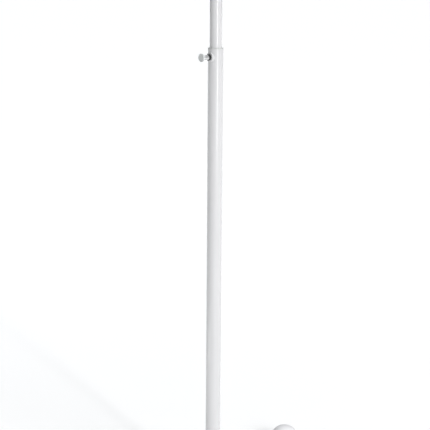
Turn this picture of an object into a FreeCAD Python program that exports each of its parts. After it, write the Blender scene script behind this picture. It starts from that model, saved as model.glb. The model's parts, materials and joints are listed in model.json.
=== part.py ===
"""Arc floor lamp: a telescopic post on a three-legged base, an arched arm and a tilting dome shade.

Units are millimetres.  +Z is up and the origin is on the floor, on the post's axis.
The arm reaches out along -X, over the left leg.
"""
import FreeCAD, Part
import math
import os

from FreeCAD import Vector, Rotation, Placement

# ---- driving dimensions ----
POST_OD = 32.0
POST_WALL = 1.5
INNER_OD = 25.0
INNER_WALL = 1.5
RIM_Z = 990.0
INNER_BOTTOM_Z = 602.0
COLLAR_Z = 1300.0
ARC_START_Z = 1340.0
ARC_RADIUS = 560.0
ARC_SWEEP_DEG = 140.0
ARM_END_STRAIGHT = 32.0
SHADE_RADIUS = 150.0
SHADE_HEIGHT = 165.0
SHADE_WALL = 0.8
SHADE_PLATE_R = 34.0
FOOT_CIRCLE_R = 330.0
FOOT_R = 31.0
FOOT_HALF_HEIGHT = 24.0
LEG_AZIMUTHS = {"left": 180.0, "back": 60.0, "front": -60.0}
SCREW_AZIMUTH_DEG = 225.0
SCREW_BELOW_RIM = 17.0

FIT = 0.05          # radial clearance of every running or push fit
LIFT = 0.05         # gap between flat faces of pieces that only meet

# ---- worked-out dimensions ----
POST_R = POST_OD / 2
BORE_R = POST_R - POST_WALL
INNER_R = INNER_OD / 2
INNER_BORE_R = INNER_R - INNER_WALL

PAD_H = 3.0
PAD_EDGE = 0.8
HUB_R = 66.0
HUB_TOP = 38.0
BOSS_R = 26.0
BOSS_TOP = 88.0
SOCKET_Z = 20.0
WEB_Z = 12.0
BOLT_R = 6.0
BOLT_HEAD_Z = PAD_H + 0.3
BOLT_HEAD_H = 7.5
GLAND_Z = 72.0
GLAND_R = 5.0
GLAND_BORE_R = 3.5
GLAND_FLANGE_R = 8.0
GRUB_Z = 48.0

LEG_INNER_R = 34.0
LEG_OUTER_R = FOOT_CIRCLE_R + 10.0
LEG_BOTTOM = 8.0
LEG_TOP = (30.0, 17.5)
LEG_WIDTH = (44.0, 27.0)
LEG_BOLT_RADII = (44.0, 57.0)
FOOT_PAD_H = 4.0
FOOT_PAD_R = 16.5
FOOT_CENTRE_Z = 17.0

# countersunk screws of the legs and feet
SCREW_R = 3.0
SCREW_HEAD_R = 6.0
SCREW_RECESS = 0.2
LEG_SCREW_TIP = 24.0
FOOT_SCREW_TIP = 28.0

LIP_H = 1.8
SCREW_Z = RIM_Z - SCREW_BELOW_RIM
SADDLE_R = 10.5
SADDLE_BARREL_R = 6.0
SADDLE_FACE = POST_R + 1.4
THREAD_R = 4.0
WASHER_R = 6.2
WASHER_H = 4.0
NECK_R = 4.8
NECK_END = 37.0
SPIGOT_R = 3.0
SPIGOT_H = 2.0
HEAD_R = 8.8
HEAD_H = 3.4
HEAD_NOTCHES = 16

COLLAR_H = 6.0
COLLAR_PROUD = 0.9
COLLAR_BORE_R = 6.5
PLUG_L = 32.0
LOW_GRUB_Z = COLLAR_Z - 20.0
HIGH_GRUB_Z = COLLAR_Z + COLLAR_H + 15.0
GRUB_R = 2.0

FORK_COLLAR_H = 6.0
PIVOT_REACH = 24.0
EAR_R = 12.0
EAR_INNER = 4.2
EAR_OUTER = 9.2
TONGUE_HALF = 3.2
PIN_R = 3.0

# distances below the tilt pivot, along the head's axis
NECK_TOP = 15.0
CAP_TOP = 32.0
CAP_BOTTOM = 104.0
CAP_R = 24.0
HOLDER_TOP = 58.0
HOLDER_FLOOR = 80.0
HOLDER_R = 19.8
FLANGE_H = 2.5
SHADE_TOP = CAP_BOTTOM + FLANGE_H
SHADE_RIM = SHADE_TOP + SHADE_HEIGHT
BULB_TIP = 191.0
GLOBE_R = 30.0
SWITCH_H = 47.0
SWITCH_NECK_R = 4.5
SWITCH_SHAFT_R = 2.5
KNOB_H = 11.0
NIPPLE_R = 5.0
CAP_WALL = 1.2
CAP_ROOF = 1.5
CAP_EDGE = 9.0

X = Vector(1, 0, 0)
Y = Vector(0, 1, 0)
Z = Vector(0, 0, 1)
ARC_CENTRE = Vector(-ARC_RADIUS, 0, ARC_START_Z)


def polar(radius, azimuth_deg):
    """Point at a radius and azimuth about the post's axis."""
    a = math.radians(azimuth_deg)
    return Vector(radius * math.cos(a), radius * math.sin(a), 0)


def arc_point(angle_deg):
    """Point on the arm's arc, counted from its vertical start."""
    a = math.radians(angle_deg)
    return ARC_CENTRE + Vector(math.cos(a), 0, math.sin(a)) * ARC_RADIUS


def arc_tangent(angle_deg):
    a = math.radians(angle_deg)
    return Vector(-math.sin(a), 0, math.cos(a))


ARC_END = arc_point(ARC_SWEEP_DEG)
ARM_DIRECTION = arc_tangent(ARC_SWEEP_DEG)
ARM_END = ARC_END + ARM_DIRECTION * ARM_END_STRAIGHT
PIVOT = ARM_END + ARM_DIRECTION * PIVOT_REACH


def rod(radius, start, end, direction=Z, origin=Vector(0, 0, 0)):
    """Cylinder along a direction, from one distance to another past an origin."""
    return Part.makeCylinder(radius, end - start, origin + direction * start, direction)


def ring(outer, inner, start, end, direction=Z, origin=Vector(0, 0, 0)):
    hole = rod(inner, start - 1, end + 1, direction, origin)
    return rod(outer, start, end, direction, origin).cut(hole)


def lathe(profile, origin=Vector(0, 0, 0)):
    """Solid turned about Z from (radius, z) corners."""
    points = [origin + Vector(r, 0, z) for r, z in profile]
    face = Part.Face(Part.makePolygon(points + points[:1]))
    return face.revolve(origin, Z, 360)


def box(low, high):
    size = high - low
    return Part.makeBox(size.x, size.y, size.z, low)


def hexagon(flats, start, end, direction=Z, origin=Vector(0, 0, 0)):
    """Hexagonal prism along a direction, given its width across flats."""
    corner = flats / math.sqrt(3)
    points = [polar(corner, 60 * i) for i in range(6)]
    prism = Part.Face(Part.makePolygon(points + points[:1])).extrude(Z * (end - start))
    prism.Placement = Placement(origin + direction * start, Rotation(Z, direction))
    return prism


def rounded(shape, radius, wanted):
    """Round the edges whose middle point the test accepts."""
    edges = [e for e in shape.Edges if wanted(e.valueAt((e.FirstParameter + e.LastParameter) / 2), e)]
    return shape.makeFillet(radius, edges)


def level(z, gap=0.01):
    """Test for a circular edge that lies wholly at one height."""
    return lambda p, e: abs(e.BoundBox.ZMin - z) < gap and abs(e.BoundBox.ZMax - z) < gap


def countersunk(z_head, z_tip, centre):
    """Countersunk screw pointing up, its flat head at the bottom."""
    head = Part.makeCone(SCREW_HEAD_R, SCREW_R, SCREW_HEAD_R - SCREW_R, centre + Z * z_head)
    screw = head.fuse(rod(SCREW_R, z_head, z_tip, Z, centre))
    middle = centre + Z * z_head
    slot = box(middle + Vector(-SCREW_HEAD_R, -0.6, -1), middle + Vector(SCREW_HEAD_R, 0.6, 1.2))
    return screw.cut(slot).removeSplitter()


def countersunk_hole(z_head, z_tip, centre):
    cone = Part.makeCone(SCREW_HEAD_R + FIT, SCREW_R + FIT, SCREW_HEAD_R - SCREW_R, centre + Z * z_head)
    below_head = rod(SCREW_HEAD_R + FIT, z_head - 5, z_head, Z, centre)
    return cone.fuse([below_head, rod(SCREW_R + FIT, z_head, z_tip + 1, Z, centre)])


def ellipsoid(radius, half_height, centre=Vector(0, 0, 0)):
    """Ball stretched to one level radius and one upright half height."""
    matrix = FreeCAD.Matrix()
    matrix.scale(radius, radius, half_height)
    ball = Part.makeSphere(1.0).transformGeometry(matrix)
    ball.translate(centre)
    return ball


# ---- base ----
def leg_blank(azimuth):
    """Tapered cast leg with a crowned top, lying along one azimuth."""
    sections = []
    for r, top, width in zip((LEG_INNER_R, LEG_OUTER_R), LEG_TOP, LEG_WIDTH):
        corners = [Vector(r, y, z) for y, z in (
            (-width / 2, LEG_BOTTOM), (width / 2, LEG_BOTTOM), (width / 2, top), (-width / 2, top))]
        sections.append(Part.makePolygon(corners + corners[:1]))
    leg = Part.makeLoft(sections, True, True)
    long_top = [e for e in leg.Edges if e.BoundBox.XLength > 200 and e.BoundBox.ZMin > LEG_BOTTOM + 5]
    leg = leg.makeFillet(5.0, long_top)
    leg.rotate(Vector(0, 0, 0), Z, azimuth)
    return leg


def leg_screw_spots(azimuth):
    return [polar(r, azimuth) for r in LEG_BOLT_RADII]


def make_leg(azimuth):
    leg = leg_blank(azimuth)
    for spot in leg_screw_spots(azimuth):
        leg = leg.cut(rod(SCREW_R + FIT, 0, LEG_SCREW_TIP + 1, Z, spot))
    return leg.cut(rod(SCREW_R + FIT, 0, FOOT_SCREW_TIP, Z, polar(FOOT_CIRCLE_R, azimuth)))


def make_foot(azimuth):
    """Squat cast dome with a flat underside and a slot that takes the leg's tip."""
    centre = polar(FOOT_CIRCLE_R, azimuth)
    foot = ellipsoid(FOOT_R, FOOT_HALF_HEIGHT, centre + Z * FOOT_CENTRE_Z)
    reach = FOOT_R + 5
    floor_cut = box(centre + Vector(-reach, -reach, -reach), centre + Vector(reach, reach, FOOT_PAD_H + LIFT))
    foot = foot.cut(floor_cut).cut(leg_blank(azimuth))
    return foot.cut(countersunk_hole(FOOT_PAD_H + SCREW_RECESS, FOOT_SCREW_TIP, centre))


def make_foot_screws():
    spots = [polar(FOOT_CIRCLE_R, a) for a in LEG_AZIMUTHS.values()]
    return Part.makeCompound([countersunk(FOOT_PAD_H + SCREW_RECESS, FOOT_SCREW_TIP, s) for s in spots])


def make_foot_pads():
    pads = []
    for azimuth in LEG_AZIMUTHS.values():
        pad = rod(FOOT_PAD_R, 0, FOOT_PAD_H, Z, polar(FOOT_CIRCLE_R, azimuth))
        pads.append(rounded(pad, PAD_EDGE, level(0)))
    return Part.makeCompound(pads)


def make_leg_screws():
    screws = []
    for azimuth in LEG_AZIMUTHS.values():
        for spot in leg_screw_spots(azimuth):
            screws.append(countersunk(PAD_H + SCREW_RECESS, LEG_SCREW_TIP, spot))
    return Part.makeCompound(screws)


def make_hub():
    """Cast centre: a disc with a pocket for each leg and a tall boss that holds the post."""
    profile = [(0, PAD_H + LIFT), (HUB_R, PAD_H + LIFT), (HUB_R, HUB_TOP - 4), (BOSS_R + 6, HUB_TOP),
               (BOSS_R, HUB_TOP + 6), (BOSS_R, BOSS_TOP), (0, BOSS_TOP)]
    hub = lathe(profile)
    hub = rounded(hub, 3.0, level(BOSS_TOP))
    hub = rounded(hub, 3.0, level(HUB_TOP - 4))
    hub = hub.cut(rod(POST_R + FIT, SOCKET_Z, BOSS_TOP + 1))
    hub = hub.cut(rod(BOLT_R + 0.3, 0, SOCKET_Z + 1))
    hub = hub.cut(rod(12.5, 0, WEB_Z))
    for azimuth in LEG_AZIMUTHS.values():
        hub = hub.cut(leg_blank(azimuth))
        for spot in leg_screw_spots(azimuth):
            hub = hub.cut(countersunk_hole(PAD_H + SCREW_RECESS, LEG_SCREW_TIP, spot))
    for azimuth in (90, 270):
        hub = hub.cut(rod(SCREW_R + FIT, POST_R - 1, BOSS_R + 1, polar(1, azimuth), Z * GRUB_Z))
    hub = hub.cut(rod(GLAND_FLANGE_R + 0.5, BOSS_R - 1.5, BOSS_R + 10, X, Z * GLAND_Z))
    return hub.cut(rod(GLAND_R + FIT, POST_R - 1, BOSS_R, X, Z * GLAND_Z))


def make_hub_pad():
    return rounded(rod(HUB_R - 3, 0, PAD_H), PAD_EDGE, level(0))


def make_grub_screws():
    screws = []
    for azimuth in (90, 270):
        out = polar(1, azimuth)
        screw = rod(SCREW_R, POST_R + 0.1, BOSS_R - 1.0, out, Z * GRUB_Z)
        screws.append(screw.cut(hexagon(3, BOSS_R - 3.5, BOSS_R, out, Z * GRUB_Z)))
    return Part.makeCompound(screws)


def make_base_bolt():
    head = hexagon(19, BOLT_HEAD_Z, BOLT_HEAD_Z + BOLT_HEAD_H)
    return head.fuse(rod(BOLT_R, BOLT_HEAD_Z + BOLT_HEAD_H, SOCKET_Z + 34)).removeSplitter()


def make_base_washer():
    return ring(12.0, BOLT_R + 0.3, BOLT_HEAD_Z + BOLT_HEAD_H + LIFT, WEB_Z - LIFT)


def make_foot_plug():
    """Steel slug in the foot of the lower post, tapped for the base bolt."""
    return ring(BORE_R - FIT, BOLT_R + FIT, SOCKET_Z + 2 * LIFT, SOCKET_Z + 40)


def make_gland():
    """Plastic bush that lines the supply cord's hole."""
    flange = rod(GLAND_FLANGE_R, BOSS_R - 1.5 + LIFT, BOSS_R + 2.2, X, Z * GLAND_Z)
    flange = rounded(flange, 1.2, lambda p, e: e.BoundBox.XMin > BOSS_R + 2.1)
    barrel = rod(GLAND_R, POST_R + 0.4, BOSS_R, X, Z * GLAND_Z)
    return flange.fuse(barrel).cut(rod(GLAND_BORE_R, 0, 40, X, Z * GLAND_Z)).removeSplitter()


# ---- lower post and its clamp ----
SCREW_AXIS = polar(1, SCREW_AZIMUTH_DEG)
SCREW_ORIGIN = Z * SCREW_Z


def make_lower_post():
    post = ring(POST_R, BORE_R, SOCKET_Z + LIFT, RIM_Z)
    post = post.cut(rod(4.0, 0, 20, X, Z * GLAND_Z))
    return post.cut(rod(SADDLE_BARREL_R + FIT, 0, 20, SCREW_AXIS, SCREW_ORIGIN))


def make_top_bush():
    """Plastic bush that centres the inner post, with a lip on the rim."""
    sleeve = ring(BORE_R - FIT, INNER_R + FIT, RIM_Z - 40, RIM_Z + LIFT)
    lip = ring(POST_R, INNER_R + FIT, RIM_Z + LIFT, RIM_Z + LIP_H)
    bush = rounded(sleeve.fuse(lip).removeSplitter(), 0.8,
                   lambda p, e: level(RIM_Z + LIP_H)(p, e) and e.BoundBox.XLength > POST_OD - 1)
    return bush.cut(rod(THREAD_R + 0.3, 0, 20, SCREW_AXIS, SCREW_ORIGIN))


def make_screw_saddle():
    """Tapped saddle set in the post's wall, which the thumbscrew runs through."""
    flange = rod(SADDLE_R, 10, SADDLE_FACE, SCREW_AXIS, SCREW_ORIGIN)
    flange = flange.cut(rod(POST_R + FIT, RIM_Z - 60, RIM_Z + 20))
    barrel = rod(SADDLE_BARREL_R, BORE_R + 0.1, SADDLE_FACE, SCREW_AXIS, SCREW_ORIGIN)
    return flange.fuse(barrel).cut(rod(THREAD_R + FIT, 0, 30, SCREW_AXIS, SCREW_ORIGIN)).removeSplitter()


def make_lock_washer():
    start = SADDLE_FACE + LIFT
    washer = ring(WASHER_R, THREAD_R + FIT, start, start + WASHER_H, SCREW_AXIS, SCREW_ORIGIN)
    outer = [e for e in washer.Edges if e.Length > 6 * WASHER_R]
    return washer.makeFillet(0.8, outer)


def make_thumbscrew_stem():
    """Threaded tip with a thicker neck whose shoulder presses the washer."""
    shoulder = SADDLE_FACE + WASHER_H + 2 * LIFT
    tip = rod(THREAD_R, INNER_R + 0.3, shoulder + 1, SCREW_AXIS, SCREW_ORIGIN)
    neck = rod(NECK_R, shoulder, NECK_END, SCREW_AXIS, SCREW_ORIGIN)
    spigot = rod(SPIGOT_R, NECK_END, NECK_END + SPIGOT_H, SCREW_AXIS, SCREW_ORIGIN)
    return tip.fuse([neck, spigot]).removeSplitter()


def make_thumbscrew_head():
    """Thin disc with finger notches round its edge."""
    start = NECK_END + LIFT
    head = rod(HEAD_R, start, start + HEAD_H, SCREW_AXIS, SCREW_ORIGIN)
    head = head.makeFillet(0.9, [e for e in head.Edges if e.Length > 40])
    side = SCREW_AXIS.cross(Z)
    for i in range(HEAD_NOTCHES):
        a = 2 * math.pi * i / HEAD_NOTCHES
        spot = SCREW_ORIGIN + (side * math.cos(a) + Z * math.sin(a)) * (HEAD_R + 0.5)
        head = head.cut(rod(0.9, start - 1, start + HEAD_H + 1, SCREW_AXIS, spot))
    return head.cut(rod(SPIGOT_R + FIT, start - 1, NECK_END + SPIGOT_H + LIFT, SCREW_AXIS, SCREW_ORIGIN))


# ---- inner post, collar and arm ----
CLIP_Z = 640.5


def make_guide_bush():
    """Plastic shoe on the inner post's foot, sliding in the lower post."""
    sleeve = ring(BORE_R - FIT, INNER_R + FIT, INNER_BOTTOM_Z, CLIP_Z - 0.5)
    ledge = ring(BORE_R - FIT, INNER_BORE_R - 1.5, INNER_BOTTOM_Z - 4, INNER_BOTTOM_Z - LIFT)
    rim = ring(BORE_R - FIT, INNER_R + FIT, INNER_BOTTOM_Z - 2, INNER_BOTTOM_Z + 2)
    return sleeve.fuse([ledge, rim]).removeSplitter()


def make_guide_clip():
    clip = ring(13.7, INNER_R - 0.35, CLIP_Z, CLIP_Z + 1.2)
    return clip.cut(box(Vector(0, -3, CLIP_Z - 1), Vector(20, 3, CLIP_Z + 3)))


def make_inner_post():
    post = ring(INNER_R, INNER_BORE_R, INNER_BOTTOM_Z, COLLAR_Z - LIFT)
    groove = ring(INNER_R + 1, INNER_R - 0.4, CLIP_Z - 0.1, CLIP_Z + 1.3)
    return post.cut(groove).cut(grub_rod(LOW_GRUB_Z, GRUB_R + FIT, 20))


def grub_rod(z, radius, reach):
    """Radial rod through the back of the tube wall, for a joint's grub screw or its hole."""
    return rod(radius, COLLAR_BORE_R, reach, Y, Z * z)


def make_collar():
    """Double spigot with a thin collar, which joins the inner post and the arm."""
    low = COLLAR_Z - PLUG_L
    high = COLLAR_Z + COLLAR_H + PLUG_L - 4
    body = rod(INNER_BORE_R - FIT, low, high)
    collar = rod(INNER_R + COLLAR_PROUD, COLLAR_Z, COLLAR_Z + COLLAR_H)
    collar = rounded(collar, 0.8, lambda p, e: e.BoundBox.ZLength < 0.01)
    body = body.fuse(collar).cut(rod(COLLAR_BORE_R, low - 1, high + 1)).removeSplitter()
    for z in (LOW_GRUB_Z, HIGH_GRUB_Z):
        body = body.cut(grub_rod(z, GRUB_R + FIT, INNER_R + 0.5))
    return body


def make_collar_screws():
    screws = []
    for z in (LOW_GRUB_Z, HIGH_GRUB_Z):
        screw = grub_rod(z, GRUB_R, INNER_R - 0.3)
        screws.append(screw.cut(hexagon(2, INNER_R - 1.8, INNER_R + 1, Y, Z * z)))
    return Part.makeCompound(screws)


def arm_rods(radius):
    """Solid rods along the arm: a short straight start, the long arc and a straight end."""
    start = rod(radius, COLLAR_Z + COLLAR_H + LIFT, ARC_START_Z)
    section = Part.Face(Part.Wire(Part.makeCircle(radius, Z * ARC_START_Z, Z)))
    bend = section.revolve(ARC_CENTRE, Y * -1, ARC_SWEEP_DEG)
    end = rod(radius, 0, ARM_END_STRAIGHT, ARM_DIRECTION, ARC_END)
    return start, bend, end


GROMMET_DEG = 131.0
GROMMET_R = 4.0
GROMMET_BORE_R = 2.8
GROMMET_FLANGE_R = 6.2
GROMMET_PROUD = 1.6


def grommet_frame():
    """Centre of the arm at the grommet, and the direction to the arc's hollow side."""
    centre = arc_point(GROMMET_DEG)
    inward = (ARC_CENTRE - centre).normalize()
    return centre, inward


def make_arm_tube():
    stretches = [outer.cut(inner) for outer, inner in zip(arm_rods(INNER_R), arm_rods(INNER_BORE_R))]
    tube = stretches[0].fuse(stretches[1:]).removeSplitter()
    centre, inward = grommet_frame()
    tube = tube.cut(rod(GROMMET_R, 0, 20, inward, centre))
    return tube.cut(grub_rod(HIGH_GRUB_Z, GRUB_R + FIT, 20))


def make_arm_grommet():
    """Rubber grommet where the flex leaves the arm."""
    centre, inward = grommet_frame()
    flange = rod(GROMMET_FLANGE_R, 9, INNER_R + GROMMET_PROUD, inward, centre)
    flange = flange.cut(arm_rods(INNER_R + FIT)[1])
    barrel = rod(GROMMET_R - FIT, INNER_BORE_R - 0.4, INNER_R + GROMMET_PROUD, inward, centre)
    return flange.fuse(barrel).cut(rod(GROMMET_BORE_R, 5, 20, inward, centre)).removeSplitter()


# ---- tilt joint ----
def make_fork():
    """Fork plugged into the arm's end; built upright, then turned to the arm's direction."""
    plug = rod(INNER_BORE_R - FIT, -26, 0)
    collar = rod(INNER_R + COLLAR_PROUD, 0, FORK_COLLAR_H)
    collar = rounded(collar, 0.8, lambda p, e: e.BoundBox.ZLength < 0.01)
    blank = box(Vector(-EAR_R, -EAR_OUTER, FORK_COLLAR_H - 1), Vector(EAR_R, EAR_OUTER, PIVOT_REACH))
    blank = blank.fuse(rod(EAR_R, -EAR_OUTER, EAR_OUTER, Y, Z * PIVOT_REACH))
    blank = blank.common(rod(INNER_R + COLLAR_PROUD, 0, 60))
    slot = box(Vector(-20, -EAR_INNER, FORK_COLLAR_H), Vector(20, EAR_INNER, 60))
    fork = plug.fuse([collar, blank]).cut(slot).removeSplitter()
    fork = fork.cut(rod(PIN_R + FIT, -20, 20, Y, Z * PIVOT_REACH))
    fork = fork.cut(rod(4.0, -30, FORK_COLLAR_H + 1))
    fork.Placement = Placement(ARM_END, Rotation(Y, -ARC_SWEEP_DEG))
    return fork


def make_pivot_bolt():
    shank = rod(PIN_R, -EAR_OUTER - 1, EAR_OUTER + 6, Y, PIVOT)
    head = rod(5.6, -EAR_OUTER - 3.6, -EAR_OUTER - LIFT, Y, PIVOT)
    head = head.makeFillet(1.6, [e for e in head.Edges if e.BoundBox.YMax < PIVOT.y - EAR_OUTER - 3.5])
    socket = hexagon(4, -EAR_OUTER - 4, -EAR_OUTER - 1.8, Y, PIVOT)
    return head.fuse(shank).cut(socket).removeSplitter()


def make_pivot_nut():
    """Domed nut on the pivot bolt."""
    start = EAR_OUTER + 1.2
    nut = hexagon(10, start, start + 5, Y, PIVOT)
    dome = Part.makeSphere(4.6, PIVOT + Y * (start + 4.2))
    dome = dome.common(rod(4.6, start + 4, start + 12, Y, PIVOT))
    return nut.fuse(dome).cut(rod(PIN_R + FIT, 0, EAR_OUTER + 6.2, Y, PIVOT)).removeSplitter()


def make_pivot_washers():
    """Two nylon friction washers beside the tongue and a steel one under the nut."""
    gaps = ((-EAR_INNER + LIFT, -TONGUE_HALF - LIFT), (TONGUE_HALF + LIFT, EAR_INNER - LIFT))
    return Part.makeCompound([ring(9.0, PIN_R + FIT, a, b, Y, PIVOT) for a, b in gaps])


def make_spring_washer():
    return ring(6.0, PIN_R + FIT, EAR_OUTER + LIFT, EAR_OUTER + 1.1, Y, PIVOT)


# ---- head ----
def below(depth):
    """Height of a level that lies some distance below the tilt pivot."""
    return PIVOT.z - depth


HEAD = Vector(PIVOT.x, PIVOT.y, 0)


def head_rod(radius, top, bottom):
    return rod(radius, below(bottom), below(top), Z, HEAD)


def head_ring(outer, inner, top, bottom):
    return ring(outer, inner, below(bottom), below(top), Z, HEAD)


def head_lathe(profile):
    """Solid turned about the head's axis from (radius, depth) corners."""
    return lathe([(r, below(depth)) for r, depth in profile], HEAD)


def make_head_neck():
    """Flat tongue in the fork and the round neck that carries the head."""
    eye = rod(EAR_R, -TONGUE_HALF, TONGUE_HALF, Y, PIVOT)
    web = box(PIVOT + Vector(-9, -TONGUE_HALF, -NECK_TOP - 2), PIVOT + Vector(9, TONGUE_HALF, 0))
    neck = head_rod(12, NECK_TOP, CAP_TOP - LIFT)
    neck = rounded(neck, 2.0, level(below(NECK_TOP)))
    body = neck.fuse([eye, web]).removeSplitter()
    body = body.cut(rod(PIN_R + FIT, -20, 20, Y, PIVOT))
    return body.cut(head_rod(NIPPLE_R + FIT, 20, CAP_TOP + 5))


def make_nipple():
    return head_ring(NIPPLE_R, NIPPLE_R - 1.5, 20.5, HOLDER_TOP + 8)


def make_nipple_nut():
    nut = hexagon(14, below(CAP_TOP + 5.8), below(CAP_TOP + CAP_ROOF + LIFT), Z, HEAD)
    return nut.cut(head_rod(NIPPLE_R + FIT, CAP_TOP, CAP_TOP + 10))


def make_holder_cap():
    """Deep metal cup that covers the lampholder, the nut and the switch."""
    cup = head_rod(CAP_R, CAP_TOP, CAP_BOTTOM - LIFT)
    cup = rounded(cup, CAP_EDGE, level(below(CAP_TOP)))
    hollow = head_rod(CAP_R - CAP_WALL, CAP_TOP + CAP_ROOF, CAP_BOTTOM + 5)
    hollow = rounded(hollow, CAP_EDGE - CAP_WALL, level(below(CAP_TOP + CAP_ROOF)))
    cup = cup.cut(hollow).cut(head_rod(NIPPLE_R + 0.2, CAP_TOP - 1, CAP_TOP + 5))
    switch_hole = rod(SWITCH_NECK_R + 0.1, 15, 30, Y * -1, PIVOT - Z * SWITCH_H)
    flex_hole = rod(GROMMET_R, 15, 30, X, PIVOT - Z * SWITCH_H)
    return cup.cut(switch_hole).cut(flex_hole)


def make_cap_grommet():
    """Rubber grommet where the flex enters the holder cap."""
    origin = PIVOT - Z * SWITCH_H
    flange = rod(GROMMET_FLANGE_R, 18, CAP_R + GROMMET_PROUD, X, origin).cut(head_rod(CAP_R + FIT, 20, 80))
    barrel = rod(GROMMET_R - FIT, CAP_R - 1.8, CAP_R + GROMMET_PROUD, X, origin)
    return flange.fuse(barrel).cut(rod(GROMMET_BORE_R, 10, 30, X, origin)).removeSplitter()


def make_lampholder():
    """Insulating holder with a threaded skirt and a flange that the cap sits on."""
    profile = [(0, HOLDER_TOP), (16, HOLDER_TOP), (16, HOLDER_TOP + 18), (HOLDER_R, HOLDER_TOP + 22),
               (HOLDER_R, CAP_BOTTOM), (CAP_R + 0.6, CAP_BOTTOM), (CAP_R + 0.6, SHADE_TOP - LIFT),
               (HOLDER_R, SHADE_TOP - LIFT), (HOLDER_R, SHADE_TOP + 15), (14, SHADE_TOP + 15),
               (14, HOLDER_FLOOR), (0, HOLDER_FLOOR)]
    return head_lathe(profile).cut(head_rod(NIPPLE_R + FIT, HOLDER_TOP - 1, HOLDER_TOP + 9))


def make_contacts():
    """Centre contact and side contact inside the holder."""
    centre = head_rod(3.0, HOLDER_FLOOR + LIFT, HOLDER_FLOOR + 3.4)
    side = box(Vector(HEAD.x + 13.35, -2, below(HOLDER_FLOOR + 30)),
               Vector(HEAD.x + 13.8, 2, below(HOLDER_FLOOR + LIFT)))
    return Part.makeCompound([centre, side])


def make_shade_ring():
    """Threaded ring that clamps the shade against the holder's flange."""
    top = SHADE_TOP + SHADE_WALL + LIFT
    body = head_ring(26.5, HOLDER_R + FIT, top, top + 10)
    body = rounded(body, 1.2, lambda p, e: level(below(top + 10))(p, e) and e.BoundBox.XLength > 50)
    for i in range(18):
        spot = HEAD + polar(27.0, 20 * i)
        body = body.cut(rod(1.3, below(top + 11), below(top + 3), Z, spot))
    return body


def dome(radius, height):
    """Upper half of an ellipsoid that stands on the shade's rim."""
    rim = HEAD + Z * below(SHADE_RIM)
    reach = Vector(radius + 5, radius + 5, 0)
    return ellipsoid(radius, height, rim).common(box(rim - reach, rim + reach + Z * (height + 5)))


def make_shade():
    """Spun dome with a flat top plate and a rolled rim."""
    crown = SHADE_HEIGHT / math.sqrt(1 - (SHADE_PLATE_R / SHADE_RADIUS) ** 2)
    shell = dome(SHADE_RADIUS, crown).common(head_rod(SHADE_RADIUS + 5, SHADE_TOP, SHADE_RIM))
    hollow = dome(SHADE_RADIUS - SHADE_WALL, crown - SHADE_WALL)
    hollow = hollow.common(head_rod(SHADE_RADIUS + 5, SHADE_TOP + SHADE_WALL, SHADE_RIM + 5))
    shell = shell.cut(hollow).cut(head_rod(HOLDER_R + 0.2, SHADE_TOP - 1, SHADE_TOP + 3))
    bead = Part.makeTorus(SHADE_RADIUS - 0.9, 1.6, HEAD + Z * below(SHADE_RIM), Z)
    return shell.fuse(bead).removeSplitter()


def make_bulb_contact():
    return head_rod(4.2, HOLDER_FLOOR + 3.6, HOLDER_FLOOR + 5.4)


def make_bulb_insulator():
    top = HOLDER_FLOOR + 5.4 + LIFT
    return head_lathe([(0, top), (4.2, top), (12.0, top + 4), (0, top + 4)])


def make_bulb_cap():
    """Screw cap: a thin shell with rolled threads."""
    top = HOLDER_FLOOR + 9.5 + LIFT
    corners = [(12.4, top)]
    for i in range(5):
        corners.append((12.6, top + 1 + 4 * i))
        corners.append((13.1, top + 3 + 4 * i))
    corners += [(12.6, top + 21), (12.6, top + 24), (11.9, top + 24), (11.9, top)]
    return head_lathe(corners)


def make_bulb_body():
    """White collar of the bulb, from the cap to the globe."""
    top = HOLDER_FLOOR + 20
    return head_lathe([(0, top), (11.8, top), (11.8, top + 13.6), (13.3, top + 13.6), (13.3, top + 23),
                       (15.0, top + 28), (19.2, top + 38), (16.9, top + 38), (16.9, top + 41), (0, top + 41)])


def make_bulb_globe():
    """Opal globe, open where it sits on the collar."""
    centre = HEAD + Z * below(BULB_TIP - GLOBE_R)
    cut_level = HOLDER_FLOOR + 58 + LIFT
    globe = Part.makeSphere(GLOBE_R, centre).cut(Part.makeSphere(GLOBE_R - 1.4, centre))
    return globe.cut(head_rod(GLOBE_R + 10, cut_level - 40, cut_level))


# ---- switch ----
SWITCH_ORIGIN = PIVOT - Z * SWITCH_H
FRONT = Y * -1


def make_switch_body():
    low = SWITCH_ORIGIN + Vector(-6, -20.8, -6.5)
    high = SWITCH_ORIGIN + Vector(6, -7.0, 6.5)
    body = box(low, high).fuse(rod(SWITCH_NECK_R, 20, CAP_R + 3.4, FRONT, SWITCH_ORIGIN))
    return body.cut(rod(SWITCH_SHAFT_R + FIT, 14, 40, FRONT, SWITCH_ORIGIN)).removeSplitter()


def make_switch_nut():
    return ring(7.0, SWITCH_NECK_R + FIT, CAP_R + LIFT, CAP_R + 2.0, FRONT, SWITCH_ORIGIN)


def make_switch_shaft():
    return rod(SWITCH_SHAFT_R, 14.3, CAP_R + 13, FRONT, SWITCH_ORIGIN)


def make_switch_knob():
    """Ribbed knob on the switch shaft."""
    start = CAP_R + 3.9
    knob = Part.makeCone(8.6, 7.6, KNOB_H, SWITCH_ORIGIN + FRONT * start, FRONT)
    front_y = SWITCH_ORIGIN.y - start - KNOB_H
    knob = knob.makeFillet(1.2, [e for e in knob.Edges if e.BoundBox.YMax < front_y + 0.1])
    for i in range(12):
        a = math.radians(30 * i)
        spot = SWITCH_ORIGIN + Vector(9.0 * math.cos(a), 0, 9.0 * math.sin(a))
        knob = knob.cut(rod(1.1, start - 1, start + 8, FRONT, spot))
    return knob.cut(rod(SWITCH_SHAFT_R + FIT, 0, CAP_R + 13.1, FRONT, SWITCH_ORIGIN))


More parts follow.
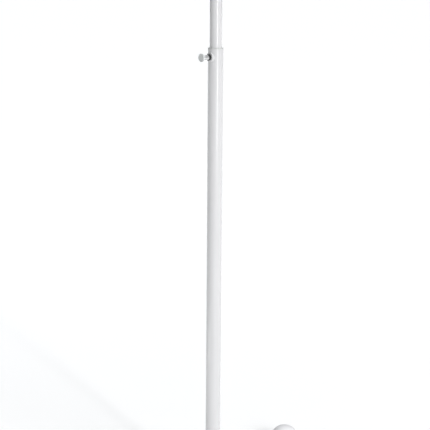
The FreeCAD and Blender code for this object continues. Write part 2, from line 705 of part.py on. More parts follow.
NODES = {
    "base_hub": make_hub,
    "hub_pad": make_hub_pad,
    "foot_pads": make_foot_pads,
    "foot_screws": make_foot_screws,
    "leg_screws": make_leg_screws,
    "socket_grub_screws": make_grub_screws,
    "base_bolt": make_base_bolt,
    "base_washer": make_base_washer,
    "post_foot_plug": make_foot_plug,
    "cord_gland": make_gland,
    "lower_post": make_lower_post,
    "top_bush": make_top_bush,
    "screw_saddle": make_screw_saddle,
    "lock_washer": make_lock_washer,
    "thumbscrew_stem": make_thumbscrew_stem,
    "thumbscrew_head": make_thumbscrew_head,
    "guide_bush": make_guide_bush,
    "guide_clip": make_guide_clip,
    "inner_post": make_inner_post,
    "arm_collar": make_collar,
    "collar_screws": make_collar_screws,
    "arm_tube": make_arm_tube,
    "arm_grommet": make_arm_grommet,
    "tilt_fork": make_fork,
    "pivot_bolt": make_pivot_bolt,
    "pivot_nut": make_pivot_nut,
    "pivot_washers": make_pivot_washers,
    "spring_washer": make_spring_washer,
    "head_neck": make_head_neck,
    "nipple": make_nipple,
    "nipple_nut": make_nipple_nut,
    "holder_cap": make_holder_cap,
    "cap_grommet": make_cap_grommet,
    "lampholder": make_lampholder,
    "holder_contacts": make_contacts,
    "shade": make_shade,
    "shade_ring": make_shade_ring,
    "bulb_contact": make_bulb_contact,
    "bulb_insulator": make_bulb_insulator,
    "bulb_cap": make_bulb_cap,
    "bulb_body": make_bulb_body,
    "bulb_globe": make_bulb_globe,
    "switch_body": make_switch_body,
    "switch_nut": make_switch_nut,
    "switch_shaft": make_switch_shaft,
    "switch_knob": make_switch_knob,
}
for side, azimuth in LEG_AZIMUTHS.items():
    NODES["leg_" + side] = lambda a=azimuth: make_leg(a)
    NODES["foot_" + side] = lambda a=azimuth: make_foot(a)


def main():
    os.makedirs("parts", exist_ok=True)
    for name, make in NODES.items():
        shape = make()
        print(name, "valid", shape.isValid(), "solids", len(shape.Solids), "volume %.1f" % shape.Volume)
        shape.exportStep("parts/" + name + ".step")
    print("pivot", PIVOT, "arm end", ARM_END)


main()
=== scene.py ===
"""Looks of the arc floor lamp: white powder-coated steel on a pale floor in soft studio light.

Outlines and sizes of the pieces are in millimetres; meshes are in metres, in the frame's own place.
"""
import bmesh
import bpy
import json
import math
from mathutils import Matrix, Vector


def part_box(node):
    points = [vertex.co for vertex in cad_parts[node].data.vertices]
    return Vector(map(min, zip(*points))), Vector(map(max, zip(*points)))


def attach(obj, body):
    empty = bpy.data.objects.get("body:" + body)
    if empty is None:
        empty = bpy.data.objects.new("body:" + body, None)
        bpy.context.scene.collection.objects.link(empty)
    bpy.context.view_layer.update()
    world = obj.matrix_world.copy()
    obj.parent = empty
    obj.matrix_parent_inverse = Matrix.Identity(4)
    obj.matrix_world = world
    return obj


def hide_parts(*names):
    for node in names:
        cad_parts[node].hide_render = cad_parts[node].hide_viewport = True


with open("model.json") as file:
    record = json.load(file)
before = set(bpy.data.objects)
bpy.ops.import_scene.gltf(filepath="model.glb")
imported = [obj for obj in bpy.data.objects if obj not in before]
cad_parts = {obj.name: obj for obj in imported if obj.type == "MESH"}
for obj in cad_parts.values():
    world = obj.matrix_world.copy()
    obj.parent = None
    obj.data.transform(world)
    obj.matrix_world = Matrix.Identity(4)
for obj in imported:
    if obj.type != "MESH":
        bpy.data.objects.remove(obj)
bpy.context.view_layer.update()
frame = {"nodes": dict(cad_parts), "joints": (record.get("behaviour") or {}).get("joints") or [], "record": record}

MM = 0.001
NODES = frame["nodes"]
JOINTS = {j["name"]: j for j in frame["joints"]}
RECORD = frame["record"]
BODY_OF = {node: body for body, nodes in RECORD["behaviour"]["bodies"].items() for node in nodes}
SLOT_OF = {s["node"]: s["material_slot"] for s in RECORD["subparts"]}
X = Vector((1, 0, 0))
Y = Vector((0, 1, 0))
Z = Vector((0, 0, 1))


def low_mm(node):
    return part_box(node)[0] / MM


def high_mm(node):
    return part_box(node)[1] / MM


# ---- places read from the frame, in millimetres ----
POST_R = high_mm("lower_post").y
INNER_R = high_mm("inner_post").y
WALL = 1.5
RIM_Z = high_mm("lower_post").z
LIP_TOP = high_mm("top_bush").z
PIVOT = Vector(JOINTS["shade_tilt"]["pos_m"]) / MM
SCREW_AXIS = Vector(JOINTS["screw_turn"]["axis"]).normalized()
SCREW_Z = JOINTS["screw_turn"]["pos_m"][2] / MM


def aim(origin, direction):
    """Place in metres whose Z axis points along a direction, from an origin in millimetres."""
    return Matrix.Translation(origin * MM) @ direction.to_track_quat("Z", "Y").to_matrix().to_4x4()


UPRIGHT = Matrix()
SCREW = aim(Z * SCREW_Z, SCREW_AXIS)
HEAD = Matrix.Translation(PIVOT * MM) @ Matrix.Rotation(math.pi, 4, "X")    # +Z runs down, from the pivot


# ---- camera ----
SENSOR = 36
LENS = 94.6047
PITCH = math.radians(12.59)
ROLL = math.radians(0.447)
STAND_OFF = 2351.5          # level distance from the camera to the post's axis
ABOVE_RIM = 173.3           # camera's height over the post's rim
ORBIT = math.radians(2.8)   # the camera stands this far round the post, towards +X
SIDE_STEP = 1.2             # and this far aside, so that the post falls in its place in the picture


def make_camera():
    data = bpy.data.cameras.new("camera")
    data.sensor_width = SENSOR
    data.lens = LENS
    data.clip_start = 0.05
    data.clip_end = 200
    camera = bpy.data.objects.new("camera", data)
    bpy.context.scene.collection.objects.link(camera)
    spot = Vector((SIDE_STEP, -STAND_OFF, RIM_Z + ABOVE_RIM)) * MM
    place = Matrix.Rotation(ORBIT, 4, "Z") @ Matrix.Translation(spot)
    turn = Matrix.Rotation(math.pi / 2 - PITCH, 4, "X") @ Matrix.Rotation(ROLL, 4, "Z")
    camera.matrix_world = place @ turn
    bpy.context.scene.camera = camera


# ---- light and floor ----
KEY_SIDE = math.radians(-45)
KEY_RISE = math.radians(27)
KEY_SPREAD = math.radians(28)
KEY_ENERGY = 1.72
SIDE_DIM, SIDE_BRIGHT = 0.0, 0.2    # the world's strength at eye level, away from the key and towards it
OVERHEAD = 1.85
OVERHEAD_FROM = 0.6                 # height on the unit sphere where the overhead light begins
SKY_TINT = (0.97, 0.985, 1, 1)
BACKDROP = 0.5
FLOOR_HALF = 40                     # metres from its middle to each edge
FLOOR_WHITE = (0.95, 0.95, 0.95, 1)
GLOW_REACH = (0.4, 2)               # metres from the post over which the floor's glow grows
FLOOR_GLOW = (0.071, 0.14)


def link_light(data, place):
    light = bpy.data.objects.new(data.name, data)
    bpy.context.scene.collection.objects.link(light)
    light.matrix_world = place
    light.visible_camera = False
    return light


def make_key():
    """Broad distant key from the front right, low enough for a soft shadow behind each foot."""
    data = bpy.data.lights.new("key", "SUN")
    data.energy = KEY_ENERGY
    data.angle = KEY_SPREAD
    key = link_light(data, Matrix.Rotation(KEY_SIDE + math.pi / 2, 4, "Z") @
                     Matrix.Rotation(math.pi / 2 - KEY_RISE, 4, "X"))
    key.visible_glossy = False      # its reflection in the arm's coat rendered as grain


def make_panel(name, azimuth, distance, height, size, watts):
    """Rectangular light that faces the post from one side, unseen; angle in degrees, sizes in metres."""
    data = bpy.data.lights.new(name, "AREA")
    data.shape = "RECTANGLE"
    data.size, data.size_y = size
    data.energy = watts
    azimuth = math.radians(azimuth)
    spot = Vector((distance * math.cos(azimuth), distance * math.sin(azimuth), height))
    look = (Z * height - spot).to_track_quat("-Z", "Y").to_matrix().to_4x4()
    link_light(data, Matrix.Translation(spot) @ look)


def make_world():
    """Soft studio round the lamp: bright overhead, and at eye level brighter on its front right.

    The camera itself sees a plain pale grey instead.
    """
    world = bpy.data.worlds.new("studio")
    bpy.context.scene.world = world
    world.use_nodes = True
    nodes, links = world.node_tree.nodes, world.node_tree.links
    where = nodes.new("ShaderNodeTexCoord").outputs["Generated"]

    def ramp(direction, low, high, dim, bright):
        along = nodes.new("ShaderNodeVectorMath")
        along.operation = "DOT_PRODUCT"
        along.inputs[1].default_value = direction
        links.new(where, along.inputs[0])
        node = nodes.new("ShaderNodeMapRange")
        for key, value in zip(("From Min", "From Max", "To Min", "To Max"), (low, high, dim, bright)):
            node.inputs[key].default_value = value
        links.new(along.outputs["Value"], node.inputs["Value"])
        return node.outputs["Result"]

    blend = nodes.new("ShaderNodeMix")
    links.new(ramp(Z, OVERHEAD_FROM, 1, 0, 1), blend.inputs[0])
    towards_key = (math.cos(KEY_SIDE), math.sin(KEY_SIDE), 0)
    links.new(ramp(towards_key, -1, 1, SIDE_DIM, SIDE_BRIGHT), blend.inputs[2])
    blend.inputs[3].default_value = OVERHEAD
    seen = nodes.new("ShaderNodeMix")
    links.new(nodes.new("ShaderNodeLightPath").outputs["Is Camera Ray"], seen.inputs[0])
    links.new(blend.outputs[0], seen.inputs[2])
    seen.inputs[3].default_value = BACKDROP
    links.new(seen.outputs[0], nodes["Background"].inputs["Strength"])
    nodes["Background"].inputs["Color"].default_value = SKY_TINT


def make_floor():
    """White sheet on the ground that glows a little, more so further from the post."""
    half = FLOOR_HALF
    corners = [(-half, -half, 0), (half, -half, 0), (half, half, 0), (-half, half, 0)]
    mesh = bpy.data.meshes.new("floor")
    mesh.from_pydata(corners, [], [(0, 1, 2, 3)])
    floor = bpy.data.objects.new("floor", mesh)
    bpy.context.scene.collection.objects.link(floor)
    material = bpy.data.materials.new("floor_white")
    material.use_nodes = True
    surface = material.node_tree.nodes["Principled BSDF"]
    surface.inputs["Base Color"].default_value = FLOOR_WHITE
    surface.inputs["Roughness"].default_value = 0.9
    surface.inputs["Specular IOR Level"].default_value = 0.1
    surface.inputs["Emission Color"].default_value = (1, 1, 1, 1)
    nodes, links = material.node_tree.nodes, material.node_tree.links
    away = nodes.new("ShaderNodeVectorMath")
    away.operation = "LENGTH"
    links.new(nodes.new("ShaderNodeTexCoord").outputs["Object"], away.inputs[0])
    glow = nodes.new("ShaderNodeMapRange")
    for key, value in zip(("From Min", "From Max", "To Min", "To Max"), (*GLOW_REACH, *FLOOR_GLOW)):
        glow.inputs[key].default_value = value
    links.new(away.outputs["Value"], glow.inputs["Value"])
    links.new(glow.outputs["Result"], surface.inputs["Emission Strength"])
    mesh.materials.append(material)


make_camera()
make_key()
# its reflection is the bright line down the post
make_panel("strip", azimuth=-57, distance=2.8, height=1.05, size=(0.1, 1.1), watts=16)
# low light beyond the left foot, on the post's dim side
make_panel("low_fill", azimuth=200, distance=0.62, height=0.1, size=(0.3, 0.12), watts=0.42)
make_world()
make_floor()
bpy.context.scene.view_settings.view_transform = "Standard"
bpy.context.scene.view_settings.look = "None"


# ---- materials ----
class Paint:
    """A principled material whose colour, roughness and bump come from small noise graphs."""

    def __init__(self, name):
        self.material = bpy.data.materials.new(name)
        self.material.use_nodes = True
        self.tree = self.material.node_tree
        self.surface = self.tree.nodes["Principled BSDF"]
        self.where = self.add("ShaderNodeTexCoord").outputs["Object"]
        self.normal = None

    def add(self, kind, **values):
        node = self.tree.nodes.new(kind)
        for key, value in values.items():
            setattr(node, key, value)
        return node

    def link(self, source, target):
        self.tree.links.new(source, target)

    def stretched(self, scale):
        mapping = self.add("ShaderNodeMapping")
        mapping.inputs["Scale"].default_value = scale
        self.link(self.where, mapping.inputs["Vector"])
        return mapping.outputs["Vector"]

    def noise(self, scale, detail=3.0, rough=0.5, vector=None):
        node = self.add("ShaderNodeTexNoise")
        node.inputs["Scale"].default_value = scale
        node.inputs["Detail"].default_value = detail
        node.inputs["Roughness"].default_value = rough
        self.link(vector or self.where, node.inputs["Vector"])
        return node.outputs["Fac"]

    def cells(self, scale):
        node = self.add("ShaderNodeTexVoronoi")
        node.inputs["Scale"].default_value = scale
        self.link(self.where, node.inputs["Vector"])
        return node.outputs["Distance"]

    def remap(self, source, low, high, out_low=0.0, out_high=1.0):
        node = self.add("ShaderNodeMapRange", interpolation_type="SMOOTHSTEP")
        node.inputs["From Min"].default_value = low
        node.inputs["From Max"].default_value = high
        node.inputs["To Min"].default_value = out_low
        node.inputs["To Max"].default_value = out_high
        self.link(source, node.inputs["Value"])
        return node.outputs["Result"]

    def mix(self, factor, first, second):
        """Blend of two colours, or of a socket and a colour, by a factor socket."""
        node = self.add("ShaderNodeMix", data_type="RGBA")
        self.link(factor, node.inputs[0])
        for socket, value in ((node.inputs[6], first), (node.inputs[7], second)):
            if isinstance(value, tuple):
                socket.default_value = (*value, 1)
            else:
                self.link(value, socket)
        return node.outputs[2]

    def edges(self, radius):
        """Mask of worn edges: where a rounded normal leaves the true one."""
        bevel = self.add("ShaderNodeBevel", samples=4)
        bevel.inputs["Radius"].default_value = radius
        geometry = self.add("ShaderNodeNewGeometry")
        dot = self.add("ShaderNodeVectorMath", operation="DOT_PRODUCT")
        self.link(bevel.outputs["Normal"], dot.inputs[0])
        self.link(geometry.outputs["Normal"], dot.inputs[1])
        return self.remap(dot.outputs["Value"], 0.99, 0.8)

    def colour(self, source):
        self.link(source, self.surface.inputs["Base Color"])

    def rough(self, source, low, high):
        self.link(self.remap(source, 0.3, 0.7, low, high), self.surface.inputs["Roughness"])

    def bump(self, source, depth, strength=1.0):
        """Adds one more layer of relief, its depth in metres."""
        node = self.add("ShaderNodeBump")
        node.inputs["Strength"].default_value = strength
        node.inputs["Distance"].default_value = depth
        self.link(source, node.inputs["Height"])
        if self.normal:
            self.link(self.normal, node.inputs["Normal"])
        self.normal = node.outputs["Normal"]
        self.link(self.normal, self.surface.inputs["Normal"])

    def set(self, **values):
        for key, value in values.items():
            self.surface.inputs[key.replace("_", " ")].default_value = value
        return self


def powder_coat(name, base, cast=False):
    """Satin white powder coat with orange peel, faint clouding and paint worn thin on edges."""
    p = Paint(name)
    cloud = p.remap(p.noise(6, 1), 0.2, 0.8)
    tint = tuple(c * 0.975 for c in base)
    coat = p.mix(cloud, base, tint)
    specks = p.remap(p.noise(420, 2), 0.66, 0.74, 0, 0.35)
    coat = p.mix(specks, coat, tuple(c * 0.86 for c in base))
    thin = p.add("ShaderNodeMath", operation="MULTIPLY")
    p.link(p.edges(0.0011), thin.inputs[0])
    p.link(p.remap(p.noise(160, 3), 0.45, 0.7, 0, 0.45), thin.inputs[1])
    coat = p.mix(thin.outputs[0], coat, (0.66, 0.66, 0.65))
    p.colour(coat)
    p.bump(p.noise(480, 2), 0.00001, 0.5)
    if cast:
        p.rough(p.noise(24, 5), 0.45, 0.6)
        p.bump(p.noise(190, 5, 0.6), 0.00022, 0.7)
        p.bump(p.cells(260), 0.00008, 0.35)
    else:
        p.rough(p.noise(14, 2), 0.285, 0.335)
        p.set(Coat_Weight=0.6, Coat_Roughness=0.13)
    return p.material


def zinc(name, base=(0.9, 0.905, 0.91)):
    """Bright zinc plate with fine tool marks and dull patches."""
    p = Paint(name)
    marks = p.noise(1500, 3, 0.6)
    patches = p.remap(p.noise(90, 4), 0.4, 0.7)
    tone = p.mix(patches, base, tuple(c * 0.88 for c in base))
    p.colour(p.mix(p.edges(0.0004), tone, (0.95, 0.955, 0.96)))
    p.rough(p.noise(300, 4), 0.3, 0.46)
    p.bump(marks, 0.00002, 0.6)
    p.set(Metallic=1.0)
    return p.material


def moulded(name, base, rough=(0.3, 0.45), grain=700):
    """Moulded plastic with faint flow clouds and a fine sparked grain."""
    p = Paint(name)
    flow = p.remap(p.noise(40, 3, 0.5, p.stretched((1, 1, 0.3))), 0.35, 0.65)
    tone = p.mix(flow, base, tuple(c * 0.93 for c in base))
    p.colour(p.mix(p.edges(0.0005), tone, tuple(min(1, c * 1.1 + 0.03) for c in base)))
    p.rough(p.noise(140, 4), *rough)
    p.bump(p.noise(grain, 3), 0.00003, 0.5)
    return p.material


def rubber(name):
    """Black rubber, greyed by dust in its grain."""
    p = Paint(name)
    dust = p.remap(p.noise(120, 5, 0.65), 0.5, 0.75, 0, 0.5)
    tone = p.mix(dust, (0.018, 0.018, 0.019), (0.09, 0.088, 0.085))
    p.colour(p.mix(p.edges(0.0006), tone, (0.07, 0.07, 0.07)))
    p.rough(p.noise(200, 4), 0.5, 0.72)
    p.bump(p.noise(800, 4), 0.00006, 0.6)
    return p.material


def brass(name):
    """Bare brass, stained in patches."""
    p = Paint(name)
    stain = p.remap(p.noise(220, 4), 0.45, 0.7)
    p.colour(p.mix(stain, (0.78, 0.58, 0.27), (0.55, 0.38, 0.16)))
    p.rough(p.noise(500, 3), 0.28, 0.42)
    p.bump(p.noise(1500, 2), 0.00002, 0.5)
    p.set(Metallic=1.0)
    return p.material


def opal(name):
    """Milky diffuser with a fine frosted skin."""
    p = Paint(name)
    cloud = p.remap(p.noise(60, 4), 0.35, 0.65)
    p.colour(p.mix(cloud, (0.93, 0.92, 0.89), (0.88, 0.87, 0.83)))
    p.rough(p.noise(400, 3), 0.28, 0.42)
    p.bump(p.noise(1600, 2), 0.00001, 0.4)
    p.set(Subsurface_Weight=0.5, Subsurface_Radius=(0.01, 0.01, 0.009), Coat_Weight=0.2)
    return p.material


def enamel(name):
    """Matt white enamel inside the shade, sprayed a little unevenly."""
    p = Paint(name)
    cloud = p.remap(p.noise(18, 4), 0.35, 0.65)
    p.colour(p.mix(cloud, (0.86, 0.86, 0.85), (0.81, 0.81, 0.80)))
    p.rough(p.noise(60, 4), 0.5, 0.62)
    p.bump(p.noise(1100, 3), 0.00003, 0.5)
    return p.material


WHITE = (0.612, 0.611, 0.617)
# painted light: the cast hub, legs and feet take a lighter copy of the posts' white, though both are one paint, so
# that the base looks more brightly lit
CAST_WHITE_LIGHTENED = (0.77, 0.77, 0.78)
MATERIALS = {
    "white_paint": powder_coat("white_powder_coat", WHITE),
    "zinc_steel": zinc("zinc_plate"),
    "knob_plastic": moulded("grey_knob", (0.64, 0.655, 0.65), (0.29, 0.4)),
    "black_rubber": rubber("dusty_rubber"),
    "bush_plastic": moulded("grey_nylon", (0.57, 0.59, 0.57), (0.29, 0.42), 500),
    "white_plastic": moulded("white_moulding", (0.80, 0.80, 0.785), (0.28, 0.36), 900),
    "opal_plastic": opal("opal_globe"),
    "brass": brass("brass_contact"),
    "cap_metal": zinc("cap_aluminium", (0.8, 0.8, 0.81)),
}
# the cast coat's rougher finish and grain are its own; its lighter white is painted light
CAST_PAINT_LIGHTENED = powder_coat("white_cast_coat_lightened", CAST_WHITE_LIGHTENED, cast=True)
SHADE_LINING = enamel("shade_lining")


# ---- mesh helpers ----
CREASE = math.radians(38)       # edges sharper than this stay hard
FIT = 0.05                      # gap left between neighbouring pieces
FLEX_HOLE = 4                   # radius of every hole that the flex passes


def eased(corners, steps=5):
    """Closed outline from (radius, height, rounding) corners, each rounded by its own amount."""
    outline = []
    for i, (r, z, rounding) in enumerate(corners):
        here = Vector((r, z))
        if not rounding:
            outline.append((r, z))
            continue
        arms = [Vector(corners[k % len(corners)][:2]) - here for k in (i - 1, i + 1)]
        start, end = [here + arm.normalized() * min(rounding, arm.length * 0.49) for arm in arms]
        for k in range(steps + 1):
            t = k / steps
            outline.append(tuple((1 - t) ** 2 * start + 2 * t * (1 - t) * here + t * t * end))
    return outline


def run(start, end, steps):
    """Evenly spaced plain corners from one (radius, height) point to another, without the last."""
    return [(*Vector(start).lerp(Vector(end), i / steps), 0) for i in range(steps)]


def finished(bm, name):
    """Smooth-shaded mesh whose faces all look outwards."""
    bmesh.ops.recalc_face_normals(bm, faces=bm.faces)
    if bm.calc_volume(signed=True) < 0:
        bmesh.ops.reverse_faces(bm, faces=bm.faces)
    mesh = bpy.data.meshes.new(name)
    bm.to_mesh(mesh)
    bm.free()
    mesh.shade_smooth()
    mesh.set_sharp_from_angle(angle=CREASE)
    return mesh


def skinned(name, rings, closed=True, lining=None):
    """Mesh of quads between neighbouring rings of points.

    A ring of one point is a tip.  The strips from ring lining[0] to ring lining[1] take the second material.
    """
    bm = bmesh.new()
    made = [[bm.verts.new(p) for p in ring] for ring in rings]
    count = len(made)
    for k in range(count if closed else count - 1):
        low, high = made[k], made[(k + 1) % count]
        if len(low) == len(high) == 1:
            continue
        for i in range(max(len(low), len(high))):
            j = (i + 1) % max(len(low), len(high))
            corners = [low[i % len(low)], low[j % len(low)], high[j % len(high)], high[i % len(high)]]
            face = bm.faces.new(list(dict.fromkeys(corners)))
            if lining and lining[0] <= k < lining[1]:
                face.material_index = 1
    return finished(bm, name)


def turned(name, outline, place=UPRIGHT, segments=96, ripple=None, lining=None):
    """Mesh turned about a place's Z axis from a closed outline of (radius, height) in millimetres."""
    rings = []
    for r, z in outline:
        if r < 1e-6:
            rings.append([place @ Vector((0, 0, z * MM))])
            continue
        ring = []
        for i in range(segments):
            a = 2 * math.pi * i / segments
            reach = ripple(r, z, a) if ripple else r
            ring.append(place @ (Vector((reach * math.cos(a), reach * math.sin(a), z)) * MM))
        rings.append(ring)
    return skinned(name, rings, True, lining)


def thread(pitch, depth, low, high):
    """Ripple that cuts a helical groove between two heights."""
    def ripple(r, z, a):
        if not low <= z <= high:
            return r
        fade = min(1, (z - low) / pitch, (high - z) / pitch)
        return r - depth * fade * (0.5 + 0.5 * math.cos(2 * math.pi * (z / pitch) - a))
    return ripple


def flutes(count, depth, edge, low=-math.inf, high=math.inf):
    """Ripple of even grooves down the outside of a grip, for radii beyond an edge."""
    def ripple(r, z, a):
        if r < edge or not low <= z <= high:
            return r
        return r - depth * max(0, math.cos(count * a)) ** 3
    return ripple


def joined(name, meshes):
    """One mesh from several that don't touch."""
    bm = bmesh.new()
    for mesh in meshes:
        bm.from_mesh(mesh)
        bpy.data.meshes.remove(mesh)
    return finished(bm, name)


def rod_mesh(place, radius, low, high):
    """Plain cylinder, mostly used to cut a hole."""
    return turned("rod", [(0, low), (radius, low), (radius, high), (0, high)], place, 48)


def carved(mesh, cutters):
    """Mesh with the shapes of the cutter meshes taken out of it."""
    name = mesh.name
    body = bpy.data.objects.new("carved", mesh)
    tool = bpy.data.objects.new("tool", joined("tool", cutters))
    for obj in (body, tool):
        bpy.context.scene.collection.objects.link(obj)
    cut = body.modifiers.new("cut", "BOOLEAN")
    cut.operation = "DIFFERENCE"
    cut.solver = "EXACT"
    cut.object = tool
    graph = bpy.context.evaluated_depsgraph_get()
    result = bpy.data.meshes.new_from_object(body.evaluated_get(graph))
    for obj in (body, tool):
        bpy.data.objects.remove(obj)
    bpy.data.meshes.remove(mesh)
    bm = bmesh.new()
    bm.from_mesh(result)
    bpy.data.meshes.remove(result)
    bmesh.ops.remove_doubles(bm, verts=bm.verts, dist=1e-6)
    return finished(bm, name)


def eased_copy(node, width):
    """Copy of a CAD node's mesh with its sharp edges rounded over."""
    flat, sharp_from = math.radians(0.6), math.radians(32)
    bm = bmesh.new()
    bm.from_mesh(NODES[node].data)
    bmesh.ops.remove_doubles(bm, verts=bm.verts, dist=2e-6)
    bmesh.ops.dissolve_limit(bm, angle_limit=flat, verts=bm.verts, edges=bm.edges)
    sharp = [e for e in bm.edges if e.calc_face_angle(0) > sharp_from]
    bmesh.ops.bevel(bm, geom=sharp, offset=width * MM, offset_type="OFFSET", segments=2,
                    profile=0.5, affect="EDGES", clamp_overlap=True)
    bmesh.ops.dissolve_degenerate(bm, dist=1e-6, edges=bm.edges)
    return finished(bm, node)


def dress(mesh, node, paint=None, lining=None):
    """Makes the piece that stands for a CAD node, rides with its body and takes its finish."""
    piece = bpy.data.objects.new(node + "_skin", mesh)
    bpy.context.scene.collection.objects.link(piece)
    mesh.name = piece.name
    if not lining:      # clearing would also forget which faces are lined
        mesh.materials.clear()
    mesh.materials.append(paint or MATERIALS[SLOT_OF[node]])
    if lining:
        mesh.materials.append(lining)
    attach(piece, BODY_OF[node])
    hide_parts(node)


# ---- base ----
HUB_PAD_H = high_mm("hub_pad").z
FOOT_PAD_H = high_mm("foot_pads").z
FOOT_R = (high_mm("foot_left").y - low_mm("foot_left").y) / 2
FOOT_TOP = high_mm("foot_left").z
FOOT_CIRCLE = -low_mm("foot_left").x - FOOT_R
FOOT_CENTRE_Z = 17
AZIMUTHS = {"left": 180, "back": 60, "front": -60}
LEG_START, LEG_END = 34, FOOT_CIRCLE + 10
LEG_BOTTOM = 8
LEG_SCREWS = (44, 57)           # distances of each leg's screws from the post's axis
SCREW_HOLE = 3 + FIT
SCREW_HEAD = 6 + FIT
SOCKET_GRUB_Z = 48
SOCKET_FLOOR = 20
PAD_R = 16.5
HUB_R = high_mm("base_hub").y
BOSS_TOP = high_mm("base_hub").z
BOSS_R = 26
GLAND = aim(Z * 72, X)
GLAND_BORE = 5


def spoke(azimuth):
    """Place at the post's foot whose X axis runs out along one azimuth."""
    return Matrix.Rotation(math.radians(azimuth), 4, "Z")


def out_at(azimuth, radius):
    """Upright place on the floor at an azimuth and a distance from the post's axis."""
    return spoke(azimuth) @ Matrix.Translation((radius * MM, 0, 0))


def leg_mesh(azimuth):
    """Cast leg: a crowned section that tapers towards the foot, closed at both ends."""
    place, steps = spoke(azimuth), 24
    rings = []
    for i in range(steps + 1):
        t = i / steps
        half, top, along = 22 - 8.5 * t, 30 - 12.5 * t, LEG_START + (LEG_END - LEG_START) * t
        section = eased([(-half, LEG_BOTTOM, 1.2), (half, LEG_BOTTOM, 1.2), (half, top - 1.2, 5),
                         (half * 0.35, top, 4), (-half * 0.35, top, 4), (-half, top - 1.2, 5)])
        rings.append([place @ (Vector((along, y, z)) * MM) for y, z in section])
    ends = [[sum(ring, Vector()) / len(ring)] for ring in (rings[0], rings[-1])]
    return skinned("leg", [ends[0]] + rings + [ends[1]], closed=False)


def countersink(place, face, tip):
    """Cutter for a countersunk screw whose head lies at a height and whose hole ends at another."""
    depth = 3
    return turned("sink", [(0, face - 6), (SCREW_HEAD, face - 6), (SCREW_HEAD, face),
                           (SCREW_HOLE, face + depth), (SCREW_HOLE, tip), (0, tip)], place, 48)


def make_legs():
    """Three legs, each drilled for its screws into the hub and its foot."""
    for side, azimuth in AZIMUTHS.items():
        holes = [rod_mesh(out_at(azimuth, r), SCREW_HOLE, 0, 25) for r in LEG_SCREWS]
        holes.append(rod_mesh(out_at(azimuth, FOOT_CIRCLE), SCREW_HOLE, 0, 28))
        dress(carved(leg_mesh(azimuth), holes), "leg_" + side, paint=CAST_PAINT_LIGHTENED)


def make_feet():
    """Squat cast domes with a turned line above the pad and a slot for the leg's tip."""
    half_height = FOOT_TOP - FOOT_CENTRE_Z
    low = math.asin((FOOT_PAD_H + FIT - FOOT_CENTRE_Z) / half_height)
    steps = 40
    outline = [(0, FOOT_PAD_H + FIT), (FOOT_R * math.cos(low) - 0.6, FOOT_PAD_H + FIT)]
    for i in range(steps + 1):
        lean = low + (math.pi / 2 - low) * i / steps
        line = 0.35 if 2 <= i <= 3 else 0
        across = (FOOT_R - line) * math.cos(lean) if i < steps else 0
        outline.append((across, FOOT_CENTRE_Z + half_height * math.sin(lean)))
    for side, azimuth in AZIMUTHS.items():
        place = out_at(azimuth, FOOT_CIRCLE)
        cutters = [leg_mesh(azimuth), countersink(place, FOOT_PAD_H + 0.2, LEG_BOTTOM + 3)]
        dress(carved(turned("foot", outline, place, 112), cutters), "foot_" + side, paint=CAST_PAINT_LIGHTENED)


def pad_mesh(place, radius, height, grooves):
    """Rubber disc with rings moulded in its underside and a waist round its edge."""
    corners = [(0, 0, 0)]
    for r in grooves:
        corners += [(r, 0, 0.2), (r + 0.4, 0.7, 0.2), (r + 1.8, 0.7, 0.2), (r + 2.2, 0, 0.2)]
    corners += [(radius, 0, 0.8), (radius, height * 0.45, 0.2), (radius - 0.4, height * 0.55, 0.2),
                (radius, height * 0.65, 0.2), (radius, height, 0.3), (0, height, 0)]
    return turned("pad", eased(corners, 3), place)


def make_pads():
    """Pads under the three feet, which are one node, and under the hub."""
    feet = [pad_mesh(out_at(azimuth, FOOT_CIRCLE), PAD_R, FOOT_PAD_H, (5, 9, 12.6))
            for azimuth in AZIMUTHS.values()]
    dress(joined("pads", feet), "foot_pads")
    dress(pad_mesh(UPRIGHT, high_mm("hub_pad").y, HUB_PAD_H, (28, 36, 44, 52)), "hub_pad")


def make_hub():
    """Cast centre with flowing corners, pockets for the legs and a bore for the post."""
    bottom, top = HUB_PAD_H + FIT, 38
    bore = POST_R + FIT
    outline = eased([(12.5, bottom, 0.3), (HUB_R, bottom, 1.2), (HUB_R, top - 4, 4), (BOSS_R + 6, top, 5),
                     (BOSS_R, top + 6, 5), (BOSS_R, BOSS_TOP - 7, 0.3), (BOSS_R - 0.6, BOSS_TOP - 6.4, 0.2),
                     (BOSS_R - 0.6, BOSS_TOP, 3), (bore, BOSS_TOP, 0.8), (bore, SOCKET_FLOOR, 0.1),
                     (6.3, SOCKET_FLOOR, 0), (6.3, 12, 0), (12.5, 12, 0)])
    legs = [leg_mesh(azimuth) for azimuth in AZIMUTHS.values()]
    hub = carved(turned("hub", outline, UPRIGHT, 160), legs)
    drills = [rod_mesh(aim(Z * SOCKET_GRUB_Z, side), SCREW_HOLE, POST_R - 1, BOSS_R + 1) for side in (Y, -Y)]
    inlet, seat, step = GLAND_BORE + FIT, 8.5, BOSS_R - 1.5
    drills.append(turned("seat", [(0, 10), (inlet, 10), (inlet, step), (seat, step), (seat, 40), (0, 40)],
                         GLAND, 64))
    for azimuth in AZIMUTHS.values():
        for r in LEG_SCREWS:
            drills.append(countersink(out_at(azimuth, r), HUB_PAD_H + 0.2, LEG_BOTTOM + 3))
    dress(carved(hub, drills), "base_hub", paint=CAST_PAINT_LIGHTENED)


def make_gland():
    """Bush with a ribbed flange round the cord's inlet."""
    outline = eased([(3.5, 16.4, 0.2), (GLAND_BORE, 16.4, 0.3), (GLAND_BORE, 24.6, 0), (8, 24.6, 0.2),
                     (8, 28.2, 1.4), (5.4, 28.2, 0.4), (3.5, 26.8, 0.8)])
    dress(turned("gland", outline, GLAND, 96, flutes(24, 0.3, 6.8)), "cord_gland")


